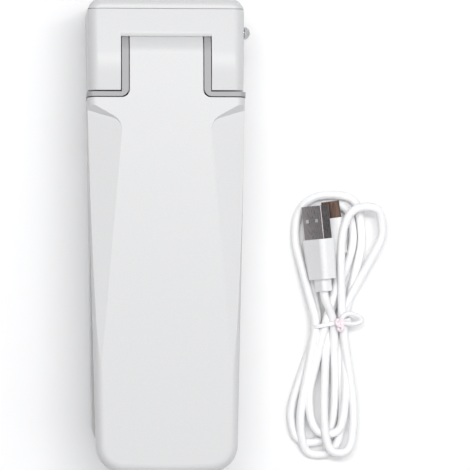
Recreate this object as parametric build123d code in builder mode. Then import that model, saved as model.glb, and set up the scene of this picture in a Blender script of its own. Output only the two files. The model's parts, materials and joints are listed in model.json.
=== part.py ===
"""Handheld bag heat sealer with its unplugged charging lead, in millimetres.

The sealer lies on its flat underside. +X is across it, +Y runs from the sealing tip to the hinge end,
+Z is up. The origin is under the middle of the body, on the surface that it lies on. The lever is drawn
at rest, held open by its spring, and closes by turning about the hinge pin until its pad meets the
heating ribbon.
"""
from build123d import *
from math import cos, radians, sin, tan
import os

os.makedirs("parts", exist_ok=True)

# ---- driving dimensions ---------------------------------------------------------------------------
BASE_LOW = 0.0           # flat underside, which the sealer rests on
HEAD_Y = 90.0            # hinge end of the body
BASE_TIP_Y = -83.5       # other end of the base, under the lever's tip
SPLIT_Z = 12.0           # where the two base shells meet
DECK_Z = 24.0            # flat top of the base
WALL = 1.9               # moulded wall
HEAD_HALF = 29.9         # half width at the head
TIP_HALF = 27.6          # half width of the base where its tip corners start
HEAD_TOP = 42.0          # crest of the head

HINGE_Y = 68.0
HINGE_Z = 30.0
OPEN_ANGLE = 5.5         # how far the spring holds the lever open
BARREL_R = 12.0          # rounded end of the lever, about the pin
PIN_R = 1.5
BUSH_R = 2.4
RUNNING_GAP = 0.05       # radial clearance of a turning fit

NOTCH_HALF = 17.2        # half of the gap between the head's legs
LEG_END_Y = 54.8         # free ends of the legs
CREST_R = 2.6            # rounded front edge of the crossbar
POCKET_R = 12.35         # hollow in the crossbar that the barrel turns in
COVER_BACK_Y = 85.7      # back edge of the head cover, a thin seam from the back wall
SEAM = 0.15

LEVER_REACH = 158.7      # pin to the lever's tip
LEVER_HEAD_HALF = 29.9
LEVER_TIP_HALF = 26.5
LEVER_UNDER = -4.6       # underside of the lever, measured from the pin
LEVER_SLOPE = 3.0        # its top falls towards the tip by this angle
TONGUE_HALF = 13.85
SHOULDER = -17.1        # lever's shoulder, measured from the pin along the lever
TRIM_END = -14.9        # free edge of the grey trim in front of the legs
CHEEK_HALF = 16.85       # outer face of the grey cheeks beside the tongue
SKIN = 1.9               # moulded skin of the lever
TRIM_GAP = 0.45          # dark line between the white tongue and the grey trim

SEAL_Y = -62.0           # middle of the heating ribbon
SEAL_LENGTH = 46.0
SPRING_Y = 38.0
PLUNGER_Y = 48.0
PLUNGER_X = 9.0

CORD_D = 3.3


def side_plane(x=0.0):
    """Plane whose sketch runs along +Y and +Z, at a given x."""
    return Plane(origin=(x, 0, 0), x_dir=(0, 1, 0), z_dir=(1, 0, 0))


LEVER_UP = (0, sin(radians(OPEN_ANGLE)), cos(radians(OPEN_ANGLE)))
LEVER_ALONG = (0, cos(radians(OPEN_ANGLE)), -sin(radians(OPEN_ANGLE)))
LEVER_TOP_VIEW = Plane(origin=(0, HINGE_Y, HINGE_Z), x_dir=(1, 0, 0), z_dir=LEVER_UP)
LEVER_SIDE_VIEW = Plane(origin=(0, HINGE_Y, HINGE_Z), x_dir=LEVER_ALONG, z_dir=(1, 0, 0))


def save(piece, name):
    """Label a finished piece and write it."""
    piece.part.label = name
    export_step(piece.part, f"parts/{name}.step")


def plan_outline(head_y, tip_y, head_half, tip_half, head_r, tip_r, crown):
    """Body seen from above: straight tapering sides, round corners and a slightly crowned tip."""
    with BuildSketch(mode=Mode.PRIVATE) as outline:
        with BuildLine():
            shoulder_y = tip_y + crown
            Polyline(
                (-tip_half, shoulder_y),
                (-head_half, head_y),
                (head_half, head_y),
                (tip_half, shoulder_y),
            )
            ThreePointArc((tip_half, shoulder_y), (0, tip_y), (-tip_half, shoulder_y))
        make_face()
        ends = outline.vertices().group_by(Axis.Y)
        fillet(ends[0], radius=tip_r)
        if head_r:
            fillet(outline.vertices().group_by(Axis.Y)[-1], radius=head_r)
    return outline.sketch


BASE_OUTLINE = plan_outline(HEAD_Y, BASE_TIP_Y, HEAD_HALF, TIP_HALF, 5.8, 10.0, 1.2)

# ---- base shells ----------------------------------------------------------------------------------
FLOOR = 2.0
DECK = 2.0
BOSS_R = 3.2
SCREW_R = 1.1
BOSSES = [(-20, -75.5), (20, -75.5), (-23.4, 24), (23.4, 24), (-24.0, 80), (24.0, 80)]
POSTS = [(-16, 52), (16, 52), (-16, 78), (16, 78)]
POST_R = 2.2
BOARD_Z = 12.0
SCREW_HEAD_R = 2.1
SCREW_HEAD_H = 1.6
SCREW_SINK = 0.4         # the heads sit this far inside the underside
SCREW_REACH = 7.0        # thread above the split
BASE_EDGE_R = 3.0

with BuildPart() as base_bottom_shell:
    with BuildSketch(Plane.XY.offset(BASE_LOW)):
        add(BASE_OUTLINE)
    extrude(amount=SPLIT_Z - BASE_LOW)
    fillet(base_bottom_shell.faces().sort_by(Axis.Z)[0].edges(), radius=BASE_EDGE_R)
    with BuildSketch(Plane.XY.offset(BASE_LOW + FLOOR)):
        offset(BASE_OUTLINE, amount=-WALL)
    extrude(amount=SPLIT_Z - BASE_LOW - FLOOR, mode=Mode.SUBTRACT)
    with BuildSketch(Plane.XY.offset(BASE_LOW + FLOOR)):
        with Locations(*BOSSES):
            Circle(BOSS_R)
        with Locations(*POSTS):
            Circle(POST_R)
    extrude(amount=SPLIT_Z - BASE_LOW - FLOOR)
    with BuildSketch(Plane.XY.offset(BOARD_Z - 5)):
        with Locations(*POSTS):
            Circle(0.8)
    extrude(amount=SPLIT_Z, mode=Mode.SUBTRACT)
    with BuildSketch(Plane.XY.offset(BASE_LOW)):
        with Locations(*BOSSES):
            Circle(SCREW_R + 0.15)
    extrude(amount=SPLIT_Z, mode=Mode.SUBTRACT)
    with BuildSketch(Plane.XY.offset(BASE_LOW)):
        with Locations(*BOSSES):
            Circle(SCREW_HEAD_R + 0.15)
    extrude(amount=SCREW_HEAD_H + SCREW_SINK, mode=Mode.SUBTRACT)
save(base_bottom_shell, "base_bottom_shell")

SPRING_R = 3.6
SPRING_POCKET_R = 4.6
SPRING_SEAT_Z = 15.0
PLUNGER_R = 1.6
CARRIER_W = 11.0
CARRIER_H = 4.0
SOCKET_W = 8.0
SOCKET_H = 3.0
SOCKET_X = -8.0
SOCKET_Z = 15.1
SWITCH_SLOT_W = 7.5
SWITCH_SLOT_H = 2.6
SWITCH_X = 10.0
SWITCH_Z = 15.7
LED_R = 2.5
LED_Y = 77.0
LED_Z = 31.0
BACK_TOP_R = 3.4
BACK_TOP = 39.1

with BuildPart() as base_top_shell:
    with BuildSketch(Plane.XY.offset(SPLIT_Z)):
        add(BASE_OUTLINE)
    extrude(amount=DECK_Z - SPLIT_Z)
    # back wall of the head, which rounds over into the head's top
    with BuildSketch(Plane.XY.offset(DECK_Z)):
        add(BASE_OUTLINE)
        with Locations((0, COVER_BACK_Y + SEAM - 200)):
            Rectangle(200, 400, mode=Mode.SUBTRACT)
    extrude(amount=BACK_TOP - DECK_Z)
    rim = base_top_shell.faces().sort_by(Axis.Z)[-1].edges().filter_by(
        lambda e: (e @ 0.5).Y > COVER_BACK_Y + 2 * SEAM
    )
    fillet(rim, radius=BACK_TOP_R)
    # hollow under the deck and behind the back wall
    with BuildSketch(Plane.XY.offset(SPLIT_Z)):
        offset(BASE_OUTLINE, amount=-WALL)
    extrude(amount=DECK_Z - DECK - SPLIT_Z, mode=Mode.SUBTRACT)
    with BuildSketch(Plane.XY.offset(SPLIT_Z)):
        with Locations(*BOSSES):
            Circle(BOSS_R)
    extrude(amount=DECK_Z - DECK - SPLIT_Z)
    with BuildSketch(Plane.XY.offset(SPLIT_Z)):
        with Locations(*BOSSES):
            Circle(SCREW_R)
    extrude(amount=SCREW_REACH + 1, mode=Mode.SUBTRACT)
    # return spring's pocket, switch plunger's hole and the heater carrier's seat
    with BuildSketch(Plane.XY.offset(SPRING_SEAT_Z - DECK)):
        with Locations((0, SPRING_Y)):
            Circle(SPRING_POCKET_R + WALL)
    extrude(amount=DECK_Z - DECK - SPRING_SEAT_Z + DECK)
    with BuildSketch(Plane.XY.offset(SPRING_SEAT_Z)):
        with Locations((0, SPRING_Y)):
            Circle(SPRING_POCKET_R)
    extrude(amount=DECK_Z, mode=Mode.SUBTRACT)
    with BuildSketch(Plane.XY.offset(DECK_Z - DECK)):
        with Locations((PLUNGER_X, PLUNGER_Y)):
            Circle(PLUNGER_R + 0.1)
    extrude(amount=DECK_Z, mode=Mode.SUBTRACT)
    with BuildSketch(Plane.XY.offset(DECK_Z - DECK)):
        with Locations((0, SEAL_Y)):
            RectangleRounded(SEAL_LENGTH + 2.2, CARRIER_W + 0.2, 1.5)
    extrude(amount=DECK_Z, mode=Mode.SUBTRACT)
    # openings in the back wall for the charging socket and the power switch
    with BuildSketch(Plane(origin=(0, HEAD_Y, 0), x_dir=(-1, 0, 0), z_dir=(0, 1, 0))):
        with Locations((-SOCKET_X, SOCKET_Z)):
            RectangleRounded(SOCKET_W + 0.3, SOCKET_H + 0.3, 1.2)
        with Locations((-SWITCH_X, SWITCH_Z)):
            RectangleRounded(SWITCH_SLOT_W, SWITCH_SLOT_H, 0.6)
    extrude(amount=-2 * WALL, mode=Mode.SUBTRACT)
save(base_top_shell, "base_top_shell")

with BuildPart() as case_screws:
    with BuildSketch(Plane.XY.offset(BASE_LOW + SCREW_SINK)):
        with Locations(*BOSSES):
            Circle(SCREW_HEAD_R)
    extrude(amount=SCREW_HEAD_H)
    with BuildSketch(Plane.XY.offset(BASE_LOW + SCREW_SINK + SCREW_HEAD_H)):
        with Locations(*BOSSES):
            Circle(SCREW_R - 0.02)
    extrude(amount=SPLIT_Z + SCREW_REACH - BASE_LOW - SCREW_HEAD_H)
    with BuildSketch(Plane.XY.offset(BASE_LOW + SCREW_SINK)):
        with Locations(*BOSSES):
            Rectangle(2.6, 0.55)
            Rectangle(0.55, 2.6)
    extrude(amount=0.9, mode=Mode.SUBTRACT)
save(case_screws, "case_screws")

# ---- head cover: a crossbar with two legs, over the hinge ------------------------------------------
COVER_Z = DECK_Z + SEAM
COVER_WALL = 2.0
COVER_TOP_R = 4.2
CROSSBAR_Y = HINGE_Y + 5.9   # front edge of the crossbar
RIDGE_Y = 63.7               # the head's highest line, rounded
RIDGE_R = 35.0
FRONT_FALL = radians(4.0)    # the legs fall gently towards the lever
BACK_FALL = radians(9.0)     # and the crossbar falls away behind the ridge
RIDGE_FRONT = (RIDGE_Y - RIDGE_R * sin(FRONT_FALL), HEAD_TOP - RIDGE_R * (1 - cos(FRONT_FALL)))
RIDGE_BACK = (RIDGE_Y + RIDGE_R * sin(BACK_FALL), HEAD_TOP - RIDGE_R * (1 - cos(BACK_FALL)))


def back_slope(y):
    """Height of the crossbar's sloping top, behind the ridge."""
    return RIDGE_BACK[1] - (y - RIDGE_BACK[0]) * tan(BACK_FALL)


def leg_profile():
    """Side of a leg: flat end, gentle fall in front, rounded ridge over the hinge, steeper fall behind."""
    front_top = RIDGE_FRONT[1] - (RIDGE_FRONT[0] - LEG_END_Y) * tan(FRONT_FALL)
    with BuildSketch(mode=Mode.PRIVATE) as profile:
        with BuildLine():
            Polyline(
                RIDGE_BACK,
                (COVER_BACK_Y, back_slope(COVER_BACK_Y)),
                (COVER_BACK_Y, COVER_Z),
                (LEG_END_Y, COVER_Z),
                (LEG_END_Y, front_top),
                RIDGE_FRONT,
            )
            ThreePointArc(RIDGE_FRONT, (RIDGE_Y, HEAD_TOP), RIDGE_BACK)
        make_face()
    return profile.sketch


with BuildPart() as head_cover:
    with BuildSketch(side_plane()):
        add(leg_profile())
    extrude(amount=HEAD_HALF, both=True)
    with BuildSketch(Plane.XY.offset(COVER_Z)):
        add(BASE_OUTLINE)
    extrude(amount=HEAD_TOP, mode=Mode.INTERSECT)
    sides = head_cover.edges().filter_by(
        lambda e: abs((e @ 0.5).X) > HEAD_HALF - 1 and (e @ 0.5).Z > back_slope(COVER_BACK_Y) - 0.1
    )
    fillet(sides, radius=COVER_TOP_R)
    # notch between the legs, with the rounded front edge of the crossbar
    crest_y = CROSSBAR_Y + CREST_R
    crest_z = back_slope(crest_y) - CREST_R / cos(BACK_FALL)
    crest_start = (CROSSBAR_Y, crest_z)
    crest_end = (crest_y + CREST_R * sin(BACK_FALL), crest_z + CREST_R * cos(BACK_FALL))
    crest_turn = radians(90) + (radians(90) - BACK_FALL) / 2
    with BuildSketch(side_plane()):
        with BuildLine():
            Polyline(
                crest_end,
                (crest_end[0], HEAD_TOP + 2),
                (LEG_END_Y - 1, HEAD_TOP + 2),
                (LEG_END_Y - 1, HINGE_Z),
                (CROSSBAR_Y, HINGE_Z),
                crest_start,
            )
            ThreePointArc(
                crest_start,
                (crest_y + CREST_R * cos(crest_turn), crest_z + CREST_R * sin(crest_turn)),
                crest_end,
            )
        make_face()
    extrude(amount=NOTCH_HALF, both=True, mode=Mode.SUBTRACT)
    with BuildSketch(side_plane()):
        with Locations((HINGE_Y, HINGE_Z)):
            Circle(POCKET_R)
        with Locations((HINGE_Y - POCKET_R, HINGE_Z - POCKET_R)):
            Rectangle(4 * POCKET_R, 2 * POCKET_R)
    extrude(amount=NOTCH_HALF, both=True, mode=Mode.SUBTRACT)
    # hollow legs and crossbar, open underneath and towards the back wall
    leg_mid = (NOTCH_HALF + HEAD_HALF) / 2
    with BuildSketch(Plane.XY.offset(COVER_Z)):
        with Locations((leg_mid, (LEG_END_Y + HEAD_Y) / 2), (-leg_mid, (LEG_END_Y + HEAD_Y) / 2)):
            Rectangle(HEAD_HALF - NOTCH_HALF - 2 * COVER_WALL - 0.4, HEAD_Y - LEG_END_Y - 2 * COVER_WALL)
        with Locations((0, HEAD_Y - 3)):
            Rectangle(2 * HEAD_HALF - 2 * COVER_WALL - 0.4, 10)
    extrude(amount=back_slope(HEAD_Y) - COVER_Z - COVER_WALL, mode=Mode.SUBTRACT)
    # bores for the pin, and the lamp's hole in the right side
    with BuildSketch(side_plane()):
        with Locations((HINGE_Y, HINGE_Z)):
            Circle(PIN_R)
    extrude(amount=NOTCH_HALF + COVER_WALL + 1, both=True, mode=Mode.SUBTRACT)
    with BuildSketch(side_plane(HEAD_HALF + 1)):
        with Locations((LED_Y, LED_Z)):
            Circle(LED_R + 0.05)
    extrude(amount=-5, mode=Mode.SUBTRACT)
save(head_cover, "head_cover")

# ---- lever ----------------------------------------------------------------------------------------
LEVER_EDGE_R = 3.4
SHELL_CORNER_R = 3.0
SLOPE = tan(radians(LEVER_SLOPE))
TANGENT = (-BARREL_R * sin(radians(LEVER_SLOPE)), BARREL_R * cos(radians(LEVER_SLOPE)))
BARREL_CUT = -4.0        # the barrel stops this far below the pin, to pass over the deck
SCOOP_NEAR = (16.5, -26.0)
SCOOP_FAR = (24.8, -120.0)
SCOOP_DEPTH = 2.9
SCOOP_CORNER_R = 5.0
SCOOP_WALL_LEAN = 48       # degrees that the scoop's near wall leans back
SCOOP_SETBACK = 3.0        # the scoop starts this much nearer the pin at its outer end
SCOOP_HEAD = 14.0          # how far out that sloping head end runs
SCOOP_OUT = 24.0           # past the lever's side, so the scoop opens to the edge
SCOOP_LONG = 130.0         # runs out beyond the lever's tip
SCOOP_RISE = 7.0           # cut height, above the lever's top face


def lever_top(y, inset=0.0):
    """Height of the lever's top above the pin, at a place along the lever."""
    return TANGENT[1] + (y - TANGENT[0]) * SLOPE - inset


def barrel_profile(inset=0.0, low=BARREL_CUT, front=SHOULDER - 5):
    """Side view of the lever's hinge end, drawn inwards by inset."""
    radius = BARREL_R - inset
    lean = radians(LEVER_SLOPE)
    tangent = (-radius * sin(lean), radius * cos(lean))
    low_y = (radius**2 - low**2) ** 0.5
    with BuildSketch(mode=Mode.PRIVATE) as profile:
        with BuildLine():
            Polyline(
                (low_y, low),
                (0, low),
                (0, LEVER_UNDER),
                (front, LEVER_UNDER),
                (front, lever_top(front, inset)),
                tangent,
            )
            ThreePointArc(tangent, (radius * cos(radians(45)), radius * sin(radians(45))), (low_y, low))
        make_face()
    return profile.sketch


def lever_plan(inset=0.0):
    """The white lever from above: blade, shoulders and tongue, with round inner corners."""
    with BuildSketch(mode=Mode.PRIVATE) as plan:
        add(plan_outline(SHOULDER - inset, -LEVER_REACH + inset, LEVER_HEAD_HALF - inset,
                         LEVER_TIP_HALF - inset, 0, 10.5 - inset, 1.2))
        with Locations((0, SHOULDER / 2 + BARREL_R / 2)):
            Rectangle(2 * (TONGUE_HALF - inset), BARREL_R - SHOULDER + 2)
        inner = plan.vertices().filter_by(
            lambda v: abs(abs(v.X) - TONGUE_HALF + inset) < 0.05 and abs(v.Y - SHOULDER + inset) < 0.05
        )
        if inner:
            fillet(inner, radius=SHELL_CORNER_R)
    return plan.sketch


def blade_profile(inset=0.0):
    """Side view of the blade of the lever, from its tip to the shoulder."""
    far = -LEVER_REACH - 1
    near = SHOULDER - inset
    under = LEVER_UNDER if inset == 0 else LEVER_UNDER - 1
    with BuildSketch(mode=Mode.PRIVATE) as profile:
        with BuildLine():
            Polyline(
                (far, under),
                (near, under),
                (near, lever_top(near, inset)),
                (far, lever_top(far, inset)),
                close=True,
            )
        make_face()
    return profile.sketch


def scoop(side, drop=0.0):
    """Flat-bottomed finger scoop: it leans outwards and runs out towards the tip."""
    near_x, near_y = SCOOP_NEAR
    far_x, far_y = SCOOP_FAR
    edge_near = Vector(side * near_x, near_y, lever_top(near_y, drop))
    edge_far = Vector(side * far_x, far_y, lever_top(far_y, drop))
    low = Vector(side * LEVER_HEAD_HALF, near_y + 1, lever_top(near_y, drop) - SCOOP_DEPTH)
    along = (edge_far - edge_near).normalized()
    up = along.cross(low - edge_near).normalized()
    if up.Z < 0:
        up = -up
    local = Plane(origin=edge_near, x_dir=along, z_dir=up)
    out = side if local.y_dir.X > 0 else -side
    with BuildPart(mode=Mode.PRIVATE) as cutter:
        with BuildSketch(local) as outline:
            with BuildLine():
                Polyline(
                    (0, 0),
                    (-SCOOP_SETBACK, out * SCOOP_HEAD),
                    (-SCOOP_SETBACK, out * SCOOP_OUT),
                    (SCOOP_LONG, out * SCOOP_OUT),
                    (SCOOP_LONG, 0),
                    close=True,
                )
            make_face()
            fillet(outline.vertices().sort_by_distance((0, 0))[0], radius=SCOOP_CORNER_R)
        extrude(amount=SCOOP_RISE, taper=-SCOOP_WALL_LEAN)
    return LEVER_TOP_VIEW.location * cutter.part


def lever_body(inset=0.0):
    """The whole lever as a solid, drawn inwards by inset so that two of them make its shell."""
    with BuildPart(mode=Mode.PRIVATE) as body:
        with BuildSketch(LEVER_SIDE_VIEW):
            add(blade_profile(inset))
        extrude(amount=LEVER_HEAD_HALF + 1, both=True)
        with BuildSketch(LEVER_TOP_VIEW.offset(LEVER_UNDER - 2)):
            add(plan_outline(SHOULDER - inset, -LEVER_REACH + inset, LEVER_HEAD_HALF - inset,
                             LEVER_TIP_HALF - inset, 0, 10.5 - inset, 1.2))
        extrude(amount=30, mode=Mode.INTERSECT)
        top = body.faces().sort_by(SortBy.AREA)[-2:].sort_by(Axis.Z)[-1]
        round_edges = top.edges().filter_by(lambda e: (e @ 0.5).Y < HINGE_Y + SHOULDER - 2)
        fillet(round_edges, radius=LEVER_EDGE_R - inset / 2)
        for side in (-1, 1):
            add(scoop(side, inset), mode=Mode.SUBTRACT)
    return body.part


LEVER_SCREWS = [(-12, -50), (12, -50), (-14, -105), (14, -105)]
LEVER_BOSS_R = 2.6
PLATE = 2.0

with BuildPart() as lever_shell:
    add(lever_body())
    add(lever_body(SKIN), mode=Mode.SUBTRACT)
    # tongue that wraps the grey barrel
    with BuildSketch(LEVER_SIDE_VIEW):
        add(barrel_profile(front=SHOULDER - 0.01))
    extrude(amount=TONGUE_HALF, both=True)
    # round inner corners between tongue and shoulders
    with BuildSketch(LEVER_TOP_VIEW.offset(LEVER_UNDER)):
        add(lever_plan())
        with Locations((0, SHOULDER - 100)):
            Rectangle(200, 200, mode=Mode.SUBTRACT)
        with Locations((0, SHOULDER + SHELL_CORNER_R + 50)):
            Rectangle(200, 100, mode=Mode.SUBTRACT)
    extrude(amount=lever_top(SHOULDER) - LEVER_UNDER)
    with BuildSketch(LEVER_SIDE_VIEW):
        add(barrel_profile(inset=1.7, front=SHOULDER - SKIN - 0.1))
    extrude(amount=TONGUE_HALF + TRIM_GAP + 0.2, both=True, mode=Mode.SUBTRACT)
    for x, y in LEVER_SCREWS:
        with BuildSketch(LEVER_TOP_VIEW.offset(LEVER_UNDER + PLATE)):
            with Locations((x, y)):
                Circle(LEVER_BOSS_R)
        extrude(amount=lever_top(y) - 1.0 - LEVER_UNDER - PLATE)
    with BuildSketch(LEVER_TOP_VIEW.offset(LEVER_UNDER)):
        with Locations(*LEVER_SCREWS):
            Circle(0.95)
    extrude(amount=LEVER_UNDER + 11, mode=Mode.SUBTRACT)
save(lever_shell, "lever_shell")

SIDE_GAP = 0.1
PAD_Y = -130.0
PAD_W = 10.0
PAD_L = 48.0

with BuildPart() as lever_frame:
    # grey shoulders and cheeks that line the notch of the head
    with BuildSketch(LEVER_TOP_VIEW.offset(LEVER_UNDER)):
        with Locations((0, (SHOULDER + TRIM_END) / 2)):
            Rectangle(2 * LEVER_HEAD_HALF + 0.3, TRIM_END - SHOULDER)
        with Locations((0, BARREL_R / 2 + TRIM_END / 2)):
            Rectangle(2 * CHEEK_HALF, BARREL_R - TRIM_END)
        add(lever_plan(-TRIM_GAP), mode=Mode.SUBTRACT)
    extrude(amount=30)
    with BuildSketch(LEVER_SIDE_VIEW):
        add(barrel_profile(inset=0.25))
    extrude(amount=LEVER_HEAD_HALF + 1, both=True, mode=Mode.INTERSECT)
    ends = lever_frame.edges().filter_by(
        lambda e: abs((e @ 0.5).X) > LEVER_HEAD_HALF and (e @ 0.5).Z > HINGE_Z + 8 and e.length < 4
    )
    fillet(ends, radius=2.6)
    # barrel under the tongue, and the plate that closes the lever underneath
    with BuildSketch(LEVER_SIDE_VIEW):
        add(barrel_profile(inset=2.0, front=SHOULDER - SKIN - 4))
    extrude(amount=TONGUE_HALF + TRIM_GAP + 0.1, both=True)
    with BuildSketch(LEVER_TOP_VIEW.offset(LEVER_UNDER)):
        add(plan_outline(SHOULDER - SKIN - SIDE_GAP, -LEVER_REACH + SKIN + SIDE_GAP,
                         LEVER_HEAD_HALF - SKIN - SIDE_GAP, LEVER_TIP_HALF - SKIN - SIDE_GAP,
                         0, 8.4, 1.2))
    extrude(amount=PLATE)
    # stiffening ribs along the plate
    with BuildSketch(LEVER_TOP_VIEW.offset(LEVER_UNDER + PLATE)):
        with Locations((-7, -75), (7, -75)):
            Rectangle(1.4, 88)
    extrude(amount=3.0)
    # pad window, screw holes and the bore for the bushes
    with BuildSketch(LEVER_TOP_VIEW.offset(LEVER_UNDER)):
        with Locations((0, PAD_Y)):
            Rectangle(PAD_L - 3, PAD_W - 3)
        with Locations(*LEVER_SCREWS):
            Circle(1.15)
    extrude(amount=PLATE, mode=Mode.SUBTRACT)
    with BuildSketch(LEVER_TOP_VIEW.offset(LEVER_UNDER)):
        with Locations((0, PAD_Y)):
            Rectangle(PAD_L + 0.2, PAD_W + 0.2)
    extrude(amount=0.8, mode=Mode.SUBTRACT)
    with BuildSketch(LEVER_TOP_VIEW.offset(LEVER_UNDER)):
        with Locations(*LEVER_SCREWS):
            Circle(2.15)
    extrude(amount=1.4, mode=Mode.SUBTRACT)
    with BuildSketch(side_plane()):
        with Locations((HINGE_Y, HINGE_Z)):
            Circle(BUSH_R)
    extrude(amount=CHEEK_HALF + 1, both=True, mode=Mode.SUBTRACT)
save(lever_frame, "lever_frame")

with BuildPart() as silicone_pad:
    with BuildSketch(LEVER_TOP_VIEW.offset(LEVER_UNDER - 0.75)):
        with Locations((0, PAD_Y)):
            RectangleRounded(PAD_L, PAD_W, 1.0)
    extrude(amount=1.5)
    with BuildSketch(LEVER_TOP_VIEW.offset(LEVER_UNDER + 0.75)):
        with Locations((0, PAD_Y)):
            Rectangle(PAD_L - 3.2, PAD_W - 3.2)
    extrude(amount=PLATE - 0.75)
save(silicone_pad, "silicone_pad")

with BuildPart() as pad_backing_bar:
    with BuildSketch(LEVER_TOP_VIEW.offset(LEVER_UNDER + PLATE)):
        with Locations((0, PAD_Y)):
            RectangleRounded(PAD_L - 4, PAD_W + 2, 1.0)
    extrude(amount=1.2)
save(pad_backing_bar, "pad_backing_bar")

with BuildPart() as lever_screws:
    with BuildSketch(LEVER_TOP_VIEW.offset(LEVER_UNDER + 0.1)):
        with Locations(*LEVER_SCREWS):
            Circle(2.0)
    extrude(amount=1.3)
    with BuildSketch(LEVER_TOP_VIEW.offset(LEVER_UNDER + 1.4)):
        with Locations(*LEVER_SCREWS):
            Circle(0.92)
    extrude(amount=4.5)
    with BuildSketch(LEVER_TOP_VIEW.offset(LEVER_UNDER + 0.1)):
        with Locations(*LEVER_SCREWS):
            Rectangle(2.4, 0.5)
            Rectangle(0.5, 2.4)
    extrude(amount=0.8, mode=Mode.SUBTRACT)
save(lever_screws, "lever_screws")

# ---- hinge ----------------------------------------------------------------------------------------
BUSH_L = 9.0
PIN_HALF = 21.6
CLIP_T = 0.6

with BuildPart() as hinge_bushes:
    for x in (-CHEEK_HALF, CHEEK_HALF - BUSH_L):
        with BuildSketch(side_plane(x)):
            with Locations((HINGE_Y, HINGE_Z)):
                Circle(BUSH_R)
                Circle(PIN_R + RUNNING_GAP, mode=Mode.SUBTRACT)
        extrude(amount=BUSH_L)
save(hinge_bushes, "hinge_bushes")

with BuildPart() as hinge_pin:
    with BuildSketch(side_plane()):
        with Locations((HINGE_Y, HINGE_Z)):
            Circle(PIN_R)
    extrude(amount=PIN_HALF, both=True)
    chamfer(hinge_pin.edges().filter_by(GeomType.CIRCLE), length=0.3)
    for x in (-PIN_HALF + 1.0, PIN_HALF - 1.0 - CLIP_T):
        with BuildSketch(side_plane(x)):
            with Locations((HINGE_Y, HINGE_Z)):
                Circle(PIN_R)
                Circle(PIN_R - 0.35, mode=Mode.SUBTRACT)
        extrude(amount=CLIP_T, mode=Mode.SUBTRACT)
save(hinge_pin, "hinge_pin")

with BuildPart() as pin_clips:
    for x in (-PIN_HALF + 1.0, PIN_HALF - 1.0 - CLIP_T):
        with BuildSketch(side_plane(x)):
            with Locations((HINGE_Y, HINGE_Z)):
                Circle(2.8)
                Circle(PIN_R - 0.33, mode=Mode.SUBTRACT)
            with Locations((HINGE_Y, HINGE_Z + 2.4)):
                Rectangle(1.6, 3.0, mode=Mode.SUBTRACT)
        extrude(amount=CLIP_T)
save(pin_clips, "pin_clips")

# ---- sealing jaw on the deck -----------------------------------------------------------------------
CARRIER_TOP = DECK_Z + 0.2
RIBBON_T = 0.15

with BuildPart() as heater_carrier:
    with BuildSketch(Plane.XY.offset(20.0)):
        with Locations((0, SEAL_Y)):
            RectangleRounded(SEAL_LENGTH + 2.0, CARRIER_W, 1.4)
    extrude(amount=CARRIER_TOP - 20.0)
    with BuildSketch(Plane.XY.offset(18.4)):
        with Locations((0, SEAL_Y)):
            RectangleRounded(SEAL_LENGTH + 5.0, CARRIER_W + 2.6, 1.4)
    extrude(amount=DECK_Z - DECK - 18.4)
save(heater_carrier, "heater_carrier")

with BuildPart() as heater_ribbon:
    with BuildSketch(Plane.XY.offset(CARRIER_TOP)):
        with Locations((0, SEAL_Y)):
            Rectangle(SEAL_LENGTH, 2.4)
    extrude(amount=RIBBON_T)
save(heater_ribbon, "heater_ribbon")

with BuildPart() as heatproof_tape:
    with BuildSketch(Plane.XY.offset(CARRIER_TOP)):
        with Locations((0, SEAL_Y)):
            Rectangle(SEAL_LENGTH + 1.0, CARRIER_W - 1.4)
    extrude(amount=RIBBON_T + 0.12)
    with BuildSketch(Plane.XY.offset(CARRIER_TOP)):
        with Locations((0, SEAL_Y)):
            Rectangle(SEAL_LENGTH, 2.4)
    extrude(amount=RIBBON_T, mode=Mode.SUBTRACT)
save(heatproof_tape, "heatproof_tape")

with BuildPart() as ribbon_terminals:
    for side in (-1, 1):
        with BuildSketch(Plane.XY.offset(14.4)):
            with Locations((side * 20, SEAL_Y)):
                Rectangle(7.0, 5.0)
        extrude(amount=4.0)
        with BuildSketch(Plane.XY.offset(14.4)):
            with Locations((side * 20, SEAL_Y)):
                Circle(0.85)
        extrude(amount=4.0, mode=Mode.SUBTRACT)
save(ribbon_terminals, "ribbon_terminals")

with BuildPart() as terminal_screws:
    with BuildSketch(Plane.XY.offset(14.4)):
        with Locations((-20, SEAL_Y), (20, SEAL_Y)):
            Circle(0.83)
    extrude(amount=3.6)
    with BuildSketch(Plane.XY.offset(13.2)):
        with Locations((-20, SEAL_Y), (20, SEAL_Y)):
            Circle(1.7)
    extrude(amount=1.2)
save(terminal_screws, "terminal_screws")

# ---- cells, board and switches ----------------------------------------------------------------------
CELL_R = 9.15
CELL_L = 65.0
CELL_X = 9.4
CELL_END_Y = -48.5
CELL_Z = BASE_LOW + FLOOR + CELL_R + 0.1

with BuildPart() as battery_cells:
    for x in (-CELL_X, CELL_X):
        with BuildSketch(Plane(origin=(x, CELL_END_Y, CELL_Z), x_dir=(1, 0, 0), z_dir=(0, 1, 0))):
            Circle(CELL_R)
        extrude(amount=CELL_L)
    fillet(battery_cells.edges().filter_by(GeomType.CIRCLE), radius=0.8)
save(battery_cells, "battery_cells")

with BuildPart() as cell_cradle:
    with BuildSketch(Plane.XY.offset(BASE_LOW + FLOOR)):
        with Locations((0, CELL_END_Y + 14), (0, CELL_END_Y + CELL_L - 14)):
            Rectangle(4 * CELL_R + 3.0, 8.0)
    extrude(amount=6.0)
    for x in (-CELL_X, CELL_X):
        with BuildSketch(Plane(origin=(x, CELL_END_Y, CELL_Z), x_dir=(1, 0, 0), z_dir=(0, 1, 0))):
            Circle(CELL_R + 0.05)
        extrude(amount=CELL_L, mode=Mode.SUBTRACT)
save(cell_cradle, "cell_cradle")

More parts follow.
